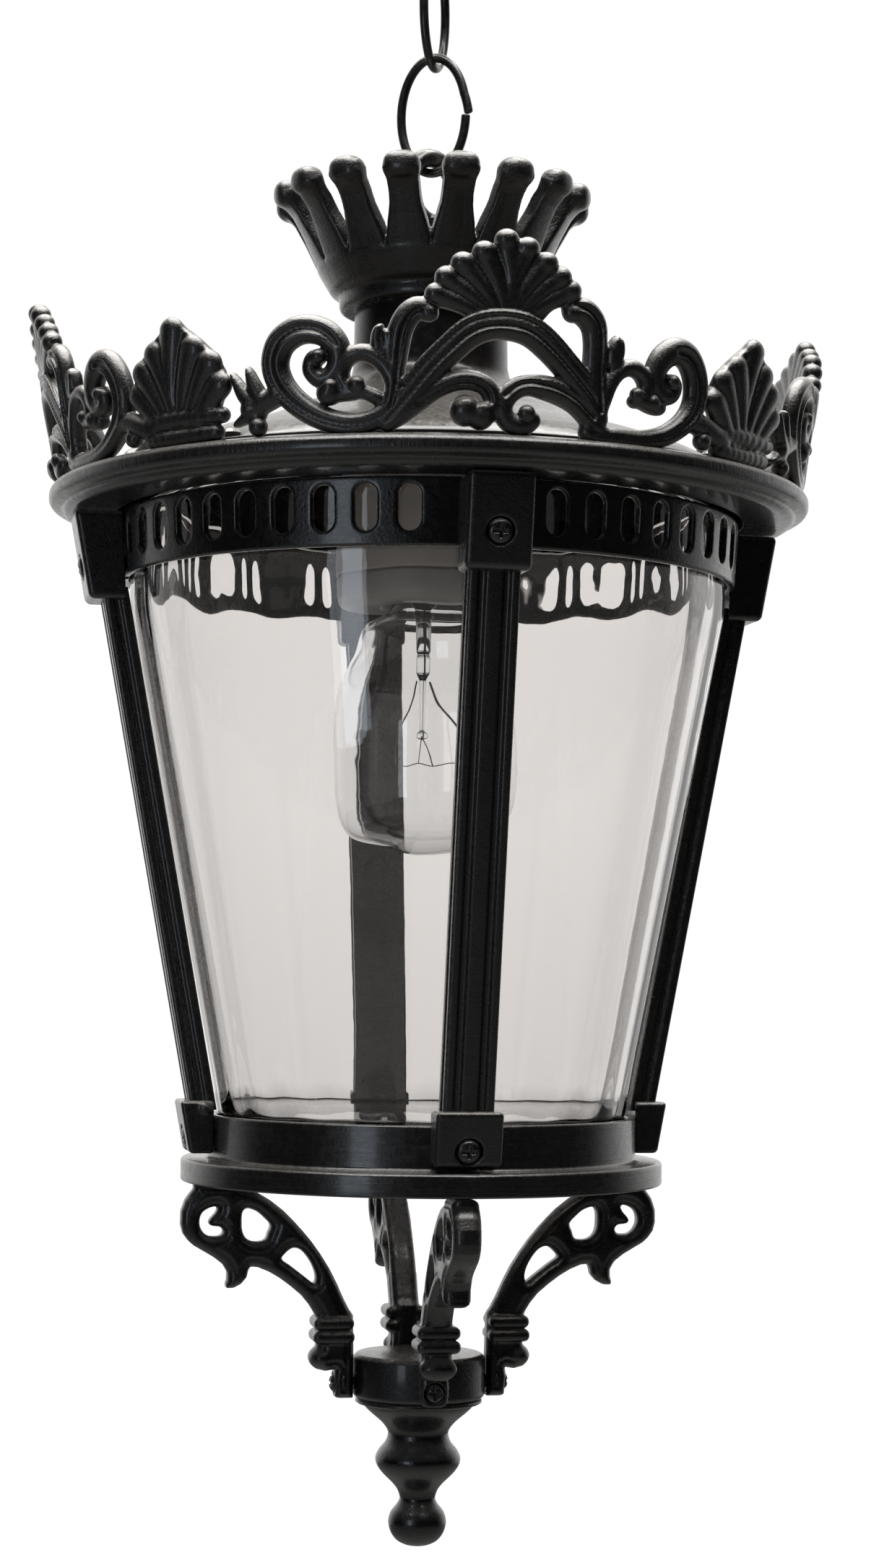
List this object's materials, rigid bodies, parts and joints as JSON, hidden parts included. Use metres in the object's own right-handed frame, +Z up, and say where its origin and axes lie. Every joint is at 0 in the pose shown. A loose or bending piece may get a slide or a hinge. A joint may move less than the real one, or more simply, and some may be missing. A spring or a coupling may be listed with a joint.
{
  "type": "hanging lantern",
  "caption": "Hanging lantern with a coronet, pierced cresting round a domed roof, a tapered fluted glass held by slender posts, and scroll brackets to a turned finial.",
  "frame": {"origin": "centre of the ceiling plate's top face, where it bears on the ceiling", "axes": "+Z up out of the plate into the ceiling, -Y towards the front post, +X to the right-hand post"},
  "size_m": [0.2664, 0.2664, 0.5631],
  "materials": {
    "black_paint": "satin black paint over sandy castings and turned rings",
    "roof_paint": "smoother gloss black paint over a spun sheet",
    "zinc_steel": "zinc plated screws, nut and strap",
    "brass": "lamp cap and contact shell",
    "porcelain": "glazed white porcelain",
    "clear_glass": "clear fluted glass",
    "rubber": "matt black rubber",
    "terminal_plastic": "white moulding",
    "tungsten": "dull drawn wire"
  },
  "bodies": {
    "ceiling": {"ceiling_plate": "black_paint", "ceiling_hook": "black_paint", "ceiling_screw_1": "zinc_steel", "ceiling_screw_2": "zinc_steel"},
    "upper_link": {"chain_link_upper": "black_paint"},
    "lower_link": {"chain_link_lower": "black_paint"},
    "lantern": {"suspension_loop": "black_paint", "neck_nut": "zinc_steel", "coronet": "black_paint", "roof": "roof_paint", "rim": "black_paint", "vent_band": "black_paint", "lower_ring": "black_paint", "glass_seat": "black_paint", "glass_gasket": "rubber", "glass": "clear_glass", "hub": "black_paint", "finial": "black_paint", "mounting_strap": "zinc_steel", "terminal_block": "terminal_plastic", "cable_gland": "rubber", "lampholder_shroud": "porcelain", "lampholder_base": "porcelain", "lampholder_shell": "brass", "roof_screw_1": "black_paint", "cresting_1": "black_paint", "post_1": "black_paint", "post_screw_top_1": "black_paint", "post_screw_bottom_1": "black_paint", "bracket_1": "black_paint", "bracket_screw_1": "zinc_steel", "hub_screw_1": "black_paint", "roof_screw_2": "black_paint", "cresting_2": "black_paint", "post_2": "black_paint", "post_screw_top_2": "black_paint", "post_screw_bottom_2": "black_paint", "bracket_2": "black_paint", "bracket_screw_2": "zinc_steel", "hub_screw_2": "black_paint", "roof_screw_3": "black_paint", "cresting_3": "black_paint", "post_3": "black_paint", "post_screw_top_3": "black_paint", "post_screw_bottom_3": "black_paint", "bracket_3": "black_paint", "bracket_screw_3": "zinc_steel", "hub_screw_3": "black_paint", "roof_screw_4": "black_paint", "cresting_4": "black_paint", "post_4": "black_paint", "post_screw_top_4": "black_paint", "post_screw_bottom_4": "black_paint", "bracket_4": "black_paint", "bracket_screw_4": "zinc_steel", "hub_screw_4": "black_paint"},
    "lamp_cap": {"bulb_cap": "brass"},
    "lamp_bulb": {"bulb_glass": "clear_glass", "bulb_stem": "clear_glass", "filament": "tungsten"}
  },
  "joints": [
    {"name": "hook_swing", "type": "hinge", "parent": "ceiling", "child": "upper_link", "pos_m": [0, 0, -0.0354], "axis": [0.8729, -0.4879, 0], "range_deg": [-25, 25]},
    {"name": "link_swing", "type": "hinge", "parent": "upper_link", "child": "lower_link", "pos_m": [0, 0, -0.07105], "axis": [0.4879, 0.8729, 0], "range_deg": [-20, 20]},
    {"name": "lantern_swing", "type": "hinge", "parent": "lower_link", "child": "lantern", "pos_m": [0, 0, -0.10715], "axis": [0.8729, -0.4879, 0], "range_deg": [-12, 12]},
    {"name": "lamp_slide", "type": "slide", "parent": "lantern", "child": "lamp_cap", "axis": [0, 0, -1], "range_m": [0, 0.01088]},
    {"name": "lamp_turn", "type": "hinge", "parent": "lamp_cap", "child": "lamp_bulb", "pos_m": [0, 0, -0.245], "axis": [0, 0, -1], "range_deg": [0, 1080]}
  ],
  "couplings": [
    {"joint": "lamp_turn", "follows": "lamp_slide", "rad_per_m": 1731.4}
  ]
}
